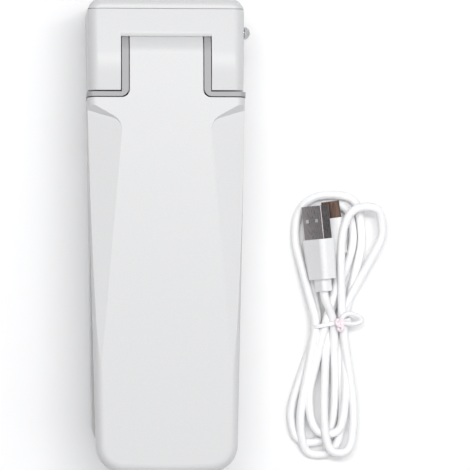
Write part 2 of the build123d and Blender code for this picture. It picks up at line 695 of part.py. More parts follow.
with BuildPart() as cell_tabs:
    with BuildSketch(Plane.XY.offset(CELL_Z - 3)):
        with Locations((0, CELL_END_Y - 0.1)):
            Rectangle(2 * CELL_X + 8, 0.2)
        with Locations((-CELL_X, CELL_END_Y + CELL_L + 0.1), (CELL_X, CELL_END_Y + CELL_L + 0.1)):
            Rectangle(8, 0.2)
    extrude(amount=6)
save(cell_tabs, "cell_tabs")

BOARD_T = 1.6
BOARD_TOP = BOARD_Z + BOARD_T
BOARD_NEAR = 45.5
BOARD_FAR = 86.4

with BuildPart() as circuit_board:
    with BuildSketch(Plane.XY.offset(BOARD_Z)):
        with Locations((0, (BOARD_NEAR + BOARD_FAR) / 2)):
            RectangleRounded(38, BOARD_FAR - BOARD_NEAR, 1.0)
        with Locations(*POSTS):
            Circle(0.95, mode=Mode.SUBTRACT)
    extrude(amount=BOARD_T)
save(circuit_board, "circuit_board")

with BuildPart() as board_screws:
    with BuildSketch(Plane.XY.offset(BOARD_TOP)):
        with Locations(*POSTS):
            Circle(1.7)
    extrude(amount=1.2)
    with BuildSketch(Plane.XY.offset(BOARD_Z - 4)):
        with Locations(*POSTS):
            Circle(0.78)
    extrude(amount=4 + BOARD_T)
save(board_screws, "board_screws")

CHIPS = [
    ((-6, 58), 7.0, 5.0, 1.4),
    ((6, 62), 5.0, 5.0, 1.2),
    ((-10, 70), 4.4, 4.4, 2.6),
    ((2, 74), 5.6, 6.6, 2.2),
]
CAPACITORS = [(12, 68), (14, 60), (-14, 62), (-3, 66)]

with BuildPart() as board_components:
    for spot, width, depth, height in CHIPS:
        with BuildSketch(Plane.XY.offset(BOARD_TOP)):
            with Locations(spot):
                Rectangle(width, depth)
        extrude(amount=height)
    with BuildSketch(Plane.XY.offset(BOARD_TOP)):
        with Locations(*CAPACITORS):
            Circle(1.5)
    extrude(amount=3.4)
save(board_components, "board_components")

SOCKET_DEPTH = 5.2

with BuildPart() as usb_socket:
    socket_origin = (SOCKET_X, HEAD_Y - 0.5, BOARD_TOP + SOCKET_H / 2)
    socket_back = Plane(origin=socket_origin, x_dir=(-1, 0, 0), z_dir=(0, 1, 0))
    with BuildSketch(socket_back):
        RectangleRounded(SOCKET_W - 0.3, SOCKET_H - 0.1, 0.9)
    extrude(amount=-SOCKET_DEPTH)
    with BuildSketch(socket_back):
        RectangleRounded(SOCKET_W - 1.0, SOCKET_H - 0.9, 0.6)
    extrude(amount=-SOCKET_DEPTH + 0.5, mode=Mode.SUBTRACT)
    with BuildSketch(socket_back):
        with Locations((0, 0.35)):
            Rectangle(3.8, 0.5)
    extrude(amount=-SOCKET_DEPTH)
save(usb_socket, "usb_socket")

with BuildPart() as travel_switch:
    with BuildSketch(Plane.XY.offset(BOARD_TOP)):
        with Locations((PLUNGER_X, PLUNGER_Y)):
            Rectangle(6.4, 4.6)
    extrude(amount=3.8)
    with BuildSketch(Plane.XY.offset(BOARD_TOP + 3.8)):
        with Locations((PLUNGER_X, PLUNGER_Y)):
            Circle(1.0)
    extrude(amount=0.5)
save(travel_switch, "travel_switch")

PLUNGER_TOP = 27.15
PLUNGER_LOW = 20.1

with BuildPart() as switch_plunger:
    with BuildSketch(Plane.XY.offset(PLUNGER_LOW)):
        with Locations((PLUNGER_X, PLUNGER_Y)):
            Circle(PLUNGER_R)
    extrude(amount=PLUNGER_TOP - PLUNGER_LOW)
    fillet(switch_plunger.faces().sort_by(Axis.Z)[-1].edges(), radius=1.3)
    with BuildSketch(Plane.XY.offset(20.6)):
        with Locations((PLUNGER_X, PLUNGER_Y)):
            Circle(2.6)
    extrude(amount=1.2)
save(switch_plunger, "switch_plunger")

SWITCH_BACK = 87.6
KNOB_HALF = 1.8
KNOB_TRAVEL = 3.4
KNOB_X = SWITCH_X - KNOB_TRAVEL / 2

with BuildPart() as power_switch:
    with BuildSketch(Plane.XY.offset(BOARD_TOP)):
        with Locations((SWITCH_X, SWITCH_BACK - 2.4)):
            Rectangle(9.0, 4.8)
    extrude(amount=4.2)
save(power_switch, "power_switch")

with BuildPart() as power_knob:
    with BuildSketch(Plane(origin=(KNOB_X, SWITCH_BACK + 0.1, SWITCH_Z), x_dir=(-1, 0, 0), z_dir=(0, 1, 0))):
        Rectangle(2 * KNOB_HALF, SWITCH_SLOT_H - 0.4)
    extrude(amount=HEAD_Y - 0.2 - SWITCH_BACK - 0.1)
    with BuildSketch(Plane(origin=(KNOB_X, HEAD_Y - 0.2, SWITCH_Z), x_dir=(-1, 0, 0), z_dir=(0, 1, 0))):
        with GridLocations(1.0, 0, 3, 1):
            Rectangle(0.4, SWITCH_SLOT_H)
    extrude(amount=-0.4, mode=Mode.SUBTRACT)
save(power_knob, "power_knob")

with BuildPart() as indicator_led:
    with BuildSketch(side_plane(HEAD_HALF - 3.2)):
        with Locations((LED_Y, LED_Z)):
            Circle(2.9)
    extrude(amount=0.9)
    with BuildSketch(side_plane(HEAD_HALF - 5.6)):
        with Locations((LED_Y, LED_Z)):
            Circle(LED_R)
    extrude(amount=5.6)
    with BuildSketch(Plane(origin=(0, LED_Y, LED_Z), x_dir=(1, 0, 0), z_dir=(0, 0, 1))):
        with BuildLine():
            Line((HEAD_HALF - 1, 0), (HEAD_HALF + LED_R, 0))
            ThreePointArc(
                (HEAD_HALF + LED_R, 0),
                (HEAD_HALF + LED_R * cos(radians(45)), LED_R * sin(radians(45))),
                (HEAD_HALF, LED_R),
            )
            Polyline((HEAD_HALF, LED_R), (HEAD_HALF - 1, LED_R), (HEAD_HALF - 1, 0))
        make_face()
    revolve(axis=Axis((0, LED_Y, LED_Z), (1, 0, 0)))
save(indicator_led, "indicator_led")

with BuildPart() as led_leads:
    for lift in (-1.27, 1.27):
        with BuildSketch(side_plane(HEAD_HALF - 9.0)):
            with Locations((LED_Y + lift, LED_Z)):
                Rectangle(0.5, 0.5)
        extrude(amount=3.4)
save(led_leads, "led_leads")

# ---- return spring --------------------------------------------------------------------------------
SPRING_WIRE = 0.45
SPRING_TOP = 27.8

with BuildPart() as return_spring:
    with BuildLine():
        coil = Helix(
            pitch=2.4,
            height=SPRING_TOP - SPRING_SEAT_Z - 2 * SPRING_WIRE,
            radius=SPRING_R - SPRING_WIRE,
            center=(0, SPRING_Y, SPRING_SEAT_Z + SPRING_WIRE),
        )
    with BuildSketch(Plane(origin=coil @ 0, z_dir=coil % 0)):
        Circle(SPRING_WIRE)
    sweep(is_frenet=True)
save(return_spring, "return_spring")

# ---- wiring ---------------------------------------------------------------------------------------


def wire(name, routes, diameter, radius):
    """Insulated leads along straight runs joined by round bends, each its own solid."""
    with BuildPart() as leads:
        for route in routes:
            with BuildLine():
                path = FilletPolyline(*route, radius=radius)
            with BuildSketch(Plane(origin=path @ 0, z_dir=path % 0)):
                Circle(diameter / 2)
            sweep(path=path)
    save(leads, name)


wire("heater_leads", [
    [(side * 22.0, SEAL_Y + 2.7, 16.4), (side * 22.0, SEAL_Y + 12, 17.2), (side * 19.3, 10, 19.6),
     (side * 19.3, 40, 19.0), (side * 13.5, 50, BOARD_TOP + 0.8), (side * 13.5, 56, BOARD_TOP + 0.75)]
    for side in (-1, 1)
], 1.4, 2.5)
wire("battery_leads", [
    [(side * CELL_X, CELL_END_Y + CELL_L + 0.95, 10.5), (side * CELL_X, 24, 9.0), (side * 7.5, 34, 7.6),
     (side * 5.5, 52, 9.0), (side * 5.5, 56, BOARD_Z - 1.2)]
    for side in (-1, 1)
], 1.2, 2.0)

# ---- charging lead: unplugged, wound into a tied hank, lying beside the sealer -------------------------
HANK_H = 7.0             # two layers of cord
NECK_H = 11.1            # where one plug's stretch of cord comes down onto the others
TIE_X = 66.2
TIE_Y = -34.6
TIE_W = 14.2             # width of the strands under the tie
TIE_T = 0.75

HANK_RIM = [
    (58.0, -30.0), (53.6, -14.0), (50.4, -4.0), (50.2, 3.0), (52.0, 12.0), (59.0, 16.4), (68.5, 17.2),
    (77.6, 12.6), (84.6, 11.0), (87.8, 5.0), (87.6, -6.0), (80.6, -23.0), (73.8, -35.0), (75.2, -46.0),
    (77.0, -62.0), (76.4, -75.0), (72.0, -86.6), (61.5, -88.4), (52.4, -81.5), (48.8, -69.0),
    (53.0, -52.0), (59.4, -38.0),
]
HANK_EYE = [
    (61.0, -25.5), (56.8, -18.0), (54.2, -8.0), (53.2, -2.0), (53.2, 5.0), (53.7, 13.0), (62.0, 14.2),
    (71.0, 14.4), (75.4, 4.0), (74.8, -8.0), (73.8, -16.0), (71.6, -25.5),
]


def closed_outline(points, radius):
    """Closed polygon with every corner rounded."""
    with BuildSketch(mode=Mode.PRIVATE) as outline:
        with BuildLine():
            Polyline(*points, close=True)
        make_face()
        fillet(outline.vertices(), radius=radius)
    return outline.sketch


with BuildPart() as cable_hank:
    with BuildSketch():
        add(closed_outline(HANK_RIM, 2.6))
        add(closed_outline(HANK_EYE, 1.6), mode=Mode.SUBTRACT)
    extrude(amount=HANK_H)
    with BuildSketch(Plane.XY.offset(HANK_H - 1)):
        with Locations((TIE_X - 1.2, TIE_Y + 5.6)):
            RectangleRounded(5.0, 6.8, 1.5)
    extrude(amount=NECK_H - HANK_H + 1)
    with BuildSketch():
        with Locations((TIE_X, TIE_Y)):
            Rectangle(60, 4.4)
            Rectangle(TIE_W, 4.4, mode=Mode.SUBTRACT)
    extrude(amount=HANK_H + 1, mode=Mode.SUBTRACT)
save(cable_hank, "cable_hank")

with BuildPart() as cable_tie:
    with BuildSketch(Plane(origin=(TIE_X, TIE_Y - 1.9, 0), x_dir=(1, 0, 0), z_dir=(0, -1, 0))):
        with Locations((0, (HANK_H + TIE_T) / 2)):
            Rectangle(TIE_W + 2 * TIE_T, HANK_H + TIE_T)
        with Locations((0, HANK_H / 2)):
            Rectangle(TIE_W + 0.05, HANK_H + 0.05, mode=Mode.SUBTRACT)
    extrude(amount=-3.8)
save(cable_tie, "cable_tie")


def plug_plane(origin, along, roll):
    """Plane at a plug's shell end, looking along the plug, with its wide side rolled up from level."""
    axis = Vector(*along).normalized()
    level = Vector(0, 0, 1).cross(axis).normalized() * -1
    wide = level * cos(radians(roll)) + Vector(0, 0, 1) * sin(radians(roll))
    return Plane(origin=origin, x_dir=wide, z_dir=axis)


A_SHELL_W = 12.0
A_SHELL_T = 4.5
A_SHELL_L = 13.0
A_GRIP_L = 15.6
A_RELIEF_L = 4.8
A_ROOT = (60.7, -1.6, 9.7)      # where the metal shell leaves the moulded grip
A_ALONG = (-3.6, 33.8, 0)
A_ROLL = 57.0
A_PLANE = plug_plane(A_ROOT, A_ALONG, A_ROLL)

with BuildPart() as usb_a_shell:
    with BuildSketch(A_PLANE):
        RectangleRounded(A_SHELL_W, A_SHELL_T, 0.5)
        RectangleRounded(A_SHELL_W - 0.7, A_SHELL_T - 0.7, 0.3, mode=Mode.SUBTRACT)
    extrude(amount=A_SHELL_L)
    with BuildSketch(A_PLANE):
        Rectangle(A_SHELL_W - 0.5, A_SHELL_T - 0.5)
    extrude(amount=0.8)
    latch = A_PLANE.offset(5.2)
    for side in (-2.9, 2.9):
        with BuildSketch(latch):
            with Locations((side, A_SHELL_T / 2)):
                Rectangle(2.2, 1.2)
        extrude(amount=2.2, mode=Mode.SUBTRACT)
save(usb_a_shell, "usb_a_shell")

with BuildPart() as usb_a_tongue:
    with BuildSketch(A_PLANE.offset(0.8)):
        with Locations((0, -0.95)):
            Rectangle(11.1, 1.8)
    extrude(amount=A_SHELL_L - 1.6)
save(usb_a_tongue, "usb_a_tongue")

with BuildPart() as usb_a_grip:
    with BuildSketch(A_PLANE):
        RectangleRounded(13.6, 7.4, 2.2)
    with BuildSketch(A_PLANE.offset(-A_GRIP_L)):
        RectangleRounded(11.4, 6.8, 2.2)
    loft()
    with BuildSketch(A_PLANE.offset(-A_GRIP_L - A_RELIEF_L)):
        RectangleRounded(6.6, 4.9, 1.6)
    extrude(amount=A_RELIEF_L)
save(usb_a_grip, "usb_a_grip")

B_SHELL_W = 6.9
B_SHELL_T = 1.9
B_SHELL_L = 6.6
B_GRIP_L = 14.0
B_RELIEF_L = 6.0
B_ROOT = (66.6, 6.6, 5.0)
B_ALONG = (-2.6, 20.0, 0)
B_ROLL = 12.0
B_PLANE = plug_plane(B_ROOT, B_ALONG, B_ROLL)

with BuildPart() as micro_usb_shell:
    with BuildSketch(B_PLANE):
        RectangleRounded(B_SHELL_W, B_SHELL_T, 0.5)
        RectangleRounded(B_SHELL_W - 0.6, B_SHELL_T - 0.6, 0.3, mode=Mode.SUBTRACT)
    extrude(amount=B_SHELL_L)
    with BuildSketch(B_PLANE):
        Rectangle(B_SHELL_W - 0.5, B_SHELL_T - 0.5)
    extrude(amount=1.6)
save(micro_usb_shell, "micro_usb_shell")

with BuildPart() as micro_usb_grip:
    with BuildSketch(B_PLANE.offset(-B_GRIP_L)):
        RectangleRounded(8.2, 5.6, 2.0)
    extrude(amount=B_GRIP_L)
    with BuildSketch(B_PLANE.offset(-B_GRIP_L - B_RELIEF_L)):
        RectangleRounded(4.8, 4.4, 1.8)
    extrude(amount=B_RELIEF_L)
save(micro_usb_grip, "micro_usb_grip")


def lead(name, points, radii):
    """One run of the cord between a plug and the hank."""
    with BuildPart() as run:
        with BuildLine():
            path = FilletPolyline(*points, radius=radii)
        with BuildSketch(Plane(origin=path @ 0, z_dir=path % 0)):
            Circle(CORD_D / 2)
        sweep(path=path)
    save(run, name)


A_EXIT = A_PLANE.offset(-A_GRIP_L - A_RELIEF_L).origin
B_EXIT = B_PLANE.offset(-B_GRIP_L - B_RELIEF_L).origin

# the two stretches of cord between the hank and its plugs
A_ROUTE = [A_EXIT, A_EXIT - A_PLANE.z_dir * 1.3, Vector(63.27, -24.75, 9.35)]
B_ROUTE = [B_EXIT, B_EXIT - B_PLANE.z_dir * 6.0, Vector(69.0, -24.2, 4.4)]
for label, route in (("cable_lead_a", A_ROUTE), ("cable_lead_micro", B_ROUTE)):
    first = route[1] - route[0]
    second = route[2] - route[1]
    turn = first.get_angle(second)
    bend = 0.45 * min(first.length, second.length) / tan(radians(turn / 2))
    lead(label, route, bend)
    print(label, "bend radius", round(bend, 1))
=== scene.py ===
# %% [markdown]
# # A handheld bag heat sealer, dressed for its picture
#
# The sealer is a long white lever, hinged in a forked head, over a battery base. Its charging lead
# lies beside it in a tied hank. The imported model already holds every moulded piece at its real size
# and place, so this lesson loads that model first and never moves it. What is left to do is what
# Blender is good at: light, finishes, a cord that is really wound, and a few small soft details.

import json
import math

import bpy
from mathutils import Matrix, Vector

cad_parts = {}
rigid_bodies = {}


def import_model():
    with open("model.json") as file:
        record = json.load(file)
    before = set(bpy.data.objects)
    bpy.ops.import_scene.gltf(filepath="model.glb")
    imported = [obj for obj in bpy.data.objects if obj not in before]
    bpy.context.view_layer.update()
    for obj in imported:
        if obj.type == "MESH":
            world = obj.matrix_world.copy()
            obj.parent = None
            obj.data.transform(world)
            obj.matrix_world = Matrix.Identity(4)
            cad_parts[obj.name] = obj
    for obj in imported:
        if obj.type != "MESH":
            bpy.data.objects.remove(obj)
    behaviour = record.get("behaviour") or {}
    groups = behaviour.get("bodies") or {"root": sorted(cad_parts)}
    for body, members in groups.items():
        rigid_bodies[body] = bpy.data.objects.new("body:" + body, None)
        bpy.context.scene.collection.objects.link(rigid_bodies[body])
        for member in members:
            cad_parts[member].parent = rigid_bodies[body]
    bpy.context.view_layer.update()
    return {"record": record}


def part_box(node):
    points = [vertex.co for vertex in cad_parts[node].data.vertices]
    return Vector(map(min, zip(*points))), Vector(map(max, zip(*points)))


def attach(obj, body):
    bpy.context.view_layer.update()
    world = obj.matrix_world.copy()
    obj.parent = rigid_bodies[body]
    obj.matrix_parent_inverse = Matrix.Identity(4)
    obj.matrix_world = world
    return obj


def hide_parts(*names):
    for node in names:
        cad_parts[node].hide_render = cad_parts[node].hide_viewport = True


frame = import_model()

# %% [markdown]
# ## Camera
#
# The sealer lies on its back and is looked at from almost straight above, a few degrees from its
# left, from well over a metre away. A long lens from far off keeps its sides nearly parallel, which
# is how small products are usually shown. The camera is aimed by a rotation that keeps the head of
# the sealer at the top of the picture.

# %% Aim a long lens from above
MM = 0.001
VIEW_WIDTH = 180.8 * MM          # how much of the table the picture spans
AIM = Vector((27.3, 0.0, 22.0)) * MM
CAMERA_AWAY = 1.2
CAMERA_YAW = math.radians(4.0)   # from the sealer's left
SENSOR = 36.0

camera_data = bpy.data.cameras.new("camera")
camera_data.sensor_width = SENSOR
camera_data.lens = SENSOR * CAMERA_AWAY / VIEW_WIDTH
camera = bpy.data.objects.new("camera", camera_data)
bpy.context.scene.collection.objects.link(camera)
camera.location = AIM + CAMERA_AWAY * Vector((-math.sin(CAMERA_YAW), 0, math.cos(CAMERA_YAW)))
camera.rotation_euler = (0, -CAMERA_YAW, 0)
bpy.context.scene.camera = camera
print("camera at", tuple(round(c, 3) for c in camera.location), "lens", round(camera_data.lens))

# %% [markdown]
# ## Floor and light
#
# White plastic on a white table only reads as a shape if the light has a direction. One wide panel
# overhead gives the even fill, a narrow one draws the soft stripe along the rounded hinge, and the
# room is brighter above than at its walls, so that every edge that turns away from the ceiling
# turns grey and the metal plugs find something dark to reflect.

# %% Panels
def area_light(name, place, aim, size, watts):
    """A rectangular soft light at a place, turned towards a point."""
    data = bpy.data.lights.new(name, "AREA")
    data.shape = "RECTANGLE"
    data.size, data.size_y = size
    data.energy = watts
    light = bpy.data.objects.new(name, data)
    light.location = place
    light.rotation_euler = (Vector(aim) - Vector(place)).to_track_quat("-Z", "Y").to_euler()
    bpy.context.scene.collection.objects.link(light)


area_light("overhead_panel", (0.30, 0.10, 1.45), (0.30, 0.10, 0), (2.4, 1.6), 16.0)
area_light("hinge_stripe", (0.08, 0.36, 1.30), (0.03, 0.05, 0.03), (1.0, 0.13), 6.6)

# %% Room, brighter above than at its walls
WALL_LEVEL = 0.14
CEILING_LEVEL = 0.46

room = bpy.data.worlds.new("room")
room.use_nodes = True
room_nodes = room.node_tree.nodes
room_links = room.node_tree.links
direction = room_nodes.new("ShaderNodeTexCoord")
upward = room_nodes.new("ShaderNodeSeparateXYZ")
level = room_nodes.new("ShaderNodeMapRange")
level.inputs["To Min"].default_value = WALL_LEVEL
level.inputs["To Max"].default_value = CEILING_LEVEL
room_links.new(direction.outputs["Generated"], upward.inputs["Vector"])
room_links.new(upward.outputs["Z"], level.inputs["Value"])
room_links.new(level.outputs["Result"], room_nodes["Background"].inputs["Strength"])
room_nodes["Background"].inputs["Color"].default_value = (0.96, 0.97, 1.0, 1)
bpy.context.scene.world = room
bpy.context.scene.view_settings.view_transform = "Standard"

# %% Floor
FLOOR_HALF = 3.0
floor_mesh = bpy.data.meshes.new("floor")
corners = [(-1, -1), (1, -1), (1, 1), (-1, 1)]
floor_mesh.from_pydata([(x * FLOOR_HALF, y * FLOOR_HALF, 0) for x, y in corners], [], [(0, 1, 2, 3)])
floor = bpy.data.objects.new("floor", floor_mesh)
bpy.context.scene.collection.objects.link(floor)
paper = bpy.data.materials.new("paper_floor")
paper.use_nodes = True
paper.node_tree.nodes["Principled BSDF"].inputs["Base Color"].default_value = (0.93, 0.93, 0.93, 1)
paper.node_tree.nodes["Principled BSDF"].inputs["Roughness"].default_value = 0.9
floor_mesh.materials.append(paper)
print("floor", 2 * FLOOR_HALF, "m across")

# %% [markdown]
# ## A recipe for finishes
#
# Nothing on the sealer is one flat colour. Moulded plastic has a fine spark-eroded grain, plated
# steel has streaks, tape has a weave. Each finish could be written out node by node, but they all
# share a skeleton: a pattern in object space chooses between two close colours, shifts the
# roughness a little, and lifts the surface by a few hundredths of a millimetre. So one function
# makes the skeleton and each finish says only what is special about it.

# %% The shared skeleton
FINISHES = {}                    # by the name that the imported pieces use


def new_finish(name, roughness, metallic=0.0):
    """A material with its shader, ready for a pattern."""
    material = bpy.data.materials.new(name + "_finish")
    FINISHES[name] = material
    material.use_nodes = True
    shader = material.node_tree.nodes["Principled BSDF"]
    shader.inputs["Roughness"].default_value = roughness
    shader.inputs["Metallic"].default_value = metallic
    return material, shader


def place_pattern(material, stretch=(1, 1, 1)):
    """Object-space coordinates in millimetres, stretched along an axis for streaks."""
    nodes, links = material.node_tree.nodes, material.node_tree.links
    coords = nodes.new("ShaderNodeTexCoord")
    mapping = nodes.new("ShaderNodeMapping")
    mapping.inputs["Scale"].default_value = [1 / (MM * s) for s in stretch]
    links.new(coords.outputs["Object"], mapping.inputs["Vector"])
    return mapping.outputs["Vector"]


def noise_of(material, vector, size, detail=2.0):
    """Cloudy noise whose blotches are about size millimetres."""
    noise = material.node_tree.nodes.new("ShaderNodeTexNoise")
    noise.inputs["Scale"].default_value = 1 / size
    noise.inputs["Detail"].default_value = detail
    material.node_tree.links.new(vector, noise.inputs["Vector"])
    return noise.outputs["Fac"]


def colour_by(material, shader, factor, dark, light, spread=(0.3, 0.7)):
    """Two close colours, chosen by a pattern."""
    ramp = material.node_tree.nodes.new("ShaderNodeValToRGB")
    ramp.color_ramp.elements[0].position = spread[0]
    ramp.color_ramp.elements[1].position = spread[1]
    ramp.color_ramp.elements[0].color = (*dark, 1)
    ramp.color_ramp.elements[1].color = (*light, 1)
    material.node_tree.links.new(factor, ramp.inputs["Fac"])
    material.node_tree.links.new(ramp.outputs["Color"], shader.inputs["Base Color"])


def roughen_by(material, shader, factor, low, high):
    """Let a pattern move the roughness between two values."""
    span = material.node_tree.nodes.new("ShaderNodeMapRange")
    span.inputs["From Min"].default_value = 0.3
    span.inputs["From Max"].default_value = 0.7
    span.inputs["To Min"].default_value = low
    span.inputs["To Max"].default_value = high
    material.node_tree.links.new(factor, span.inputs["Value"])
    material.node_tree.links.new(span.outputs["Result"], shader.inputs["Roughness"])


def lift_by(material, shader, factor, height, strength=1.0):
    """Raise the surface by a pattern, height in millimetres."""
    bump = material.node_tree.nodes.new("ShaderNodeBump")
    bump.inputs["Distance"].default_value = height * MM
    bump.inputs["Strength"].default_value = strength
    material.node_tree.links.new(factor, bump.inputs["Height"])
    earlier = shader.inputs["Normal"].links
    if earlier:
        material.node_tree.links.new(earlier[0].from_socket, bump.inputs["Normal"])
    material.node_tree.links.new(bump.outputs["Normal"], shader.inputs["Normal"])


def grained(name, dark, light, grain, height, roughness, metallic=0.0, stretch=(1, 1, 1)):
    """The whole skeleton: one grain that colours, roughens and lifts."""
    material, shader = new_finish(name, roughness, metallic)
    grain_pattern = noise_of(material, place_pattern(material, stretch), grain)
    colour_by(material, shader, grain_pattern, dark, light)
    roughen_by(material, shader, grain_pattern, roughness - 0.05, roughness + 0.05)
    lift_by(material, shader, grain_pattern, height)
    return material


def shader_of(material):
    """The shader of a finish, for the few that need one more value."""
    return material.node_tree.nodes["Principled BSDF"]


print("finish helpers ready")

# %% [markdown]
# ## White case
#
# The case is injection-moulded white plastic with a satin skin. A mould is never quite even: the
# grain left by spark erosion is about a third of a millimetre, and over tens of millimetres the
# wall sinks a little where it cools slowly. Two noises at those two sizes say exactly that. A
# scattering shader would be softer still, but it is slow and doesn't travel with the model.

# %% White case
WHITE_DARK = (0.61, 0.612, 0.615)
WHITE_LIGHT = (0.645, 0.645, 0.645)
white_case = grained("white_case", WHITE_DARK, WHITE_LIGHT, 0.35, 0.003, 0.33)
white_sink = noise_of(white_case, place_pattern(white_case), 22.0, 1.0)
lift_by(white_case, shader_of(white_case), white_sink, 0.12, 0.5)
shader_of(white_case).inputs["Specular IOR Level"].default_value = 0.42
print("white case grain 0.35 mm, sink 22 mm")

# %% [markdown]
# ## Grey frame, black mouldings and grips
#
# The grey frame that lines the hinge is the same plastic with a finer, duller texture, because it
# is moulded in one with the rubbing faces. The black switch bodies are glossier. The plug grips
# are a soft compound, smooth to the touch, with a trace of the mould's polish left in them.

# %% Plain mouldings
grey_frame = grained("grey_frame", (0.34, 0.34, 0.35), (0.375, 0.375, 0.385), 0.25, 0.003, 0.45)
black_plastic = grained(
    "black_plastic", (0.022, 0.022, 0.024), (0.04, 0.04, 0.042), 0.4, 0.004, 0.38)
white_grip = grained("white_grip", (0.82, 0.82, 0.825), (0.86, 0.86, 0.86), 0.6, 0.005, 0.42)
chip_black = grained("chip_black", (0.012, 0.012, 0.014), (0.03, 0.03, 0.032), 0.15, 0.004, 0.55)
print("mouldings", [m.name for m in (grey_frame, black_plastic, white_grip, chip_black)])

# %% [markdown]
# ## Metals
#
# Each metal is told apart by how it was worked. Zinc plating is cloudy, a ground pin has rings
# round it, drawn wire and rolled sheet have streaks along them, and sintered bronze is full of
# dark pores that hold its oil. Streaks are the same noise, stretched along one axis.

# %% Steels, nickel, brass and resistance ribbon
grained("zinc_steel", (0.52, 0.54, 0.58), (0.68, 0.69, 0.70), 0.8, 0.004, 0.30, 1.0)
grained(
    "bright_steel", (0.62, 0.62, 0.63), (0.74, 0.74, 0.75), 0.3, 0.003, 0.20, 1.0, (0.2, 4, 4))
grained(
    "spring_steel", (0.34, 0.34, 0.36), (0.54, 0.54, 0.56), 0.5, 0.004, 0.30, 1.0, (1, 1, 3))
grained(
    "nickel", (0.27, 0.25, 0.255), (0.35, 0.325, 0.33), 0.25, 0.003, 0.30, 1.0, (1, 8, 1))
grained(
    "terminal_brass", (0.58, 0.43, 0.20), (0.76, 0.61, 0.34), 0.5, 0.004, 0.28, 1.0, (6, 1, 1))
grained(
    "nichrome", (0.32, 0.28, 0.27), (0.58, 0.55, 0.52), 0.5, 0.003, 0.34, 1.0, (14, 0.6, 1))
print("streaked metals ready")

# %% Sintered bronze, with its pores
bronze_bush, bronze_shader = new_finish("bronze_bush", 0.42, 1.0)
pores = bronze_bush.node_tree.nodes.new("ShaderNodeTexVoronoi")
pores.inputs["Scale"].default_value = 5.0
bronze_bush.node_tree.links.new(place_pattern(bronze_bush), pores.inputs["Vector"])
colour_by(
    bronze_bush, bronze_shader, pores.outputs["Distance"],
    (0.22, 0.13, 0.07), (0.66, 0.46, 0.27), (0.05, 0.3))
lift_by(bronze_bush, bronze_shader, pores.outputs["Distance"], 0.02)
print("pores about 0.2 mm")

# %% [markdown]
# ## The sealing jaw
#
# The heating ribbon lies under a strip of brown glass cloth coated so that melted film lets go of
# it. A cloth is two sets of threads that pass over and under each other, and two wave patterns at
# right angles, multiplied, give the same little squares. The pad that presses on it is red-brown
# silicone, matt and slightly dusty, and the bar that holds the ribbon is a mottled dark resin.

# %% Coated glass cloth
THREAD = 0.7
ptfe_tape, tape_shader = new_finish("ptfe_tape", 0.38)
tape_space = place_pattern(ptfe_tape)
threads = []
for bands in ("X", "Y"):
    wave = ptfe_tape.node_tree.nodes.new("ShaderNodeTexWave")
    wave.bands_direction = bands
    wave.inputs["Scale"].default_value = 1 / THREAD
    wave.inputs["Distortion"].default_value = 0.3
    ptfe_tape.node_tree.links.new(tape_space, wave.inputs["Vector"])
    threads.append(wave.outputs["Fac"])
crossing = ptfe_tape.node_tree.nodes.new("ShaderNodeMath")
crossing.operation = "MULTIPLY"
ptfe_tape.node_tree.links.new(threads[0], crossing.inputs[0])
ptfe_tape.node_tree.links.new(threads[1], crossing.inputs[1])
colour_by(
    ptfe_tape, tape_shader, crossing.outputs["Value"],
    (0.36, 0.24, 0.13), (0.54, 0.39, 0.24), (0.1, 0.8))
lift_by(ptfe_tape, tape_shader, crossing.outputs["Value"], 0.03)
print("tape threads", THREAD, "mm apart")

# %% Silicone and resin
silicone = grained("silicone", (0.47, 0.16, 0.12), (0.56, 0.21, 0.165), 0.5, 0.006, 0.68)
shader_of(silicone).inputs["Sheen Weight"].default_value = 0.15
grained("phenolic", (0.07, 0.045, 0.035), (0.15, 0.10, 0.075), 1.4, 0.006, 0.5)
print("jaw finishes ready")

# %% [markdown]
# ## Inside the case
#
# The inner pieces are only seen when the model is taken apart, but they are dressed all the same:
# blue shrink wrap that wrinkles around the cells, a green board whose copper shows through the
# solder mask as paler tracks, and red insulated wire.

# %% Cells, wire and board
grained(
    "cell_wrap", (0.06, 0.20, 0.46), (0.11, 0.31, 0.60), 3.0, 0.05, 0.28, 0.0, (1, 5, 1))
grained("red_wire", (0.50, 0.03, 0.025), (0.64, 0.06, 0.05), 0.6, 0.006, 0.40)

board_green, board_shader = new_finish("board_green", 0.34)
tracks = board_green.node_tree.nodes.new("ShaderNodeTexBrick")
tracks.inputs["Color1"].default_value = (0.018, 0.13, 0.06, 1)
tracks.inputs["Color2"].default_value = (0.022, 0.15, 0.07, 1)
tracks.inputs["Mortar"].default_value = (0.05, 0.27, 0.12, 1)
tracks.inputs["Scale"].default_value = 0.25
tracks.inputs["Mortar Size"].default_value = 0.06
board_green.node_tree.links.new(place_pattern(board_green), tracks.inputs["Vector"])
board_green.node_tree.links.new(tracks.outputs["Color"], board_shader.inputs["Base Color"])
lift_by(board_green, board_shader, tracks.outputs["Fac"], 0.03)
print("inner finishes ready")

# %% [markdown]
# ## Clear lamp and white cord
#
# The lamp is water-clear resin, so it is a glass shader with the faint waviness of a cast part.
# The cord's jacket is soft white vinyl. It has a broad dull shine and takes up a slight print
# where it was wound, which is a long thin noise along the picture's up direction.

# %% Lamp resin and cord jacket
clear_lens, lens_shader = new_finish("clear_lens", 0.06)
lens_shader.inputs["Transmission Weight"].default_value = 1.0
lens_shader.inputs["IOR"].default_value = 1.5
lens_haze = noise_of(clear_lens, place_pattern(clear_lens), 1.2)
colour_by(clear_lens, lens_shader, lens_haze, (0.90, 0.92, 0.93), (0.98, 0.98, 0.98))
lift_by(clear_lens, lens_shader, lens_haze, 0.01)

white_cord = grained(
    "white_cord", (0.89, 0.89, 0.895), (0.93, 0.93, 0.93), 1.1, 0.012, 0.45, 0.0, (1, 3, 1))
shader_of(white_cord).inputs["Sheen Weight"].default_value = 0.08
print("lamp and cord ready")

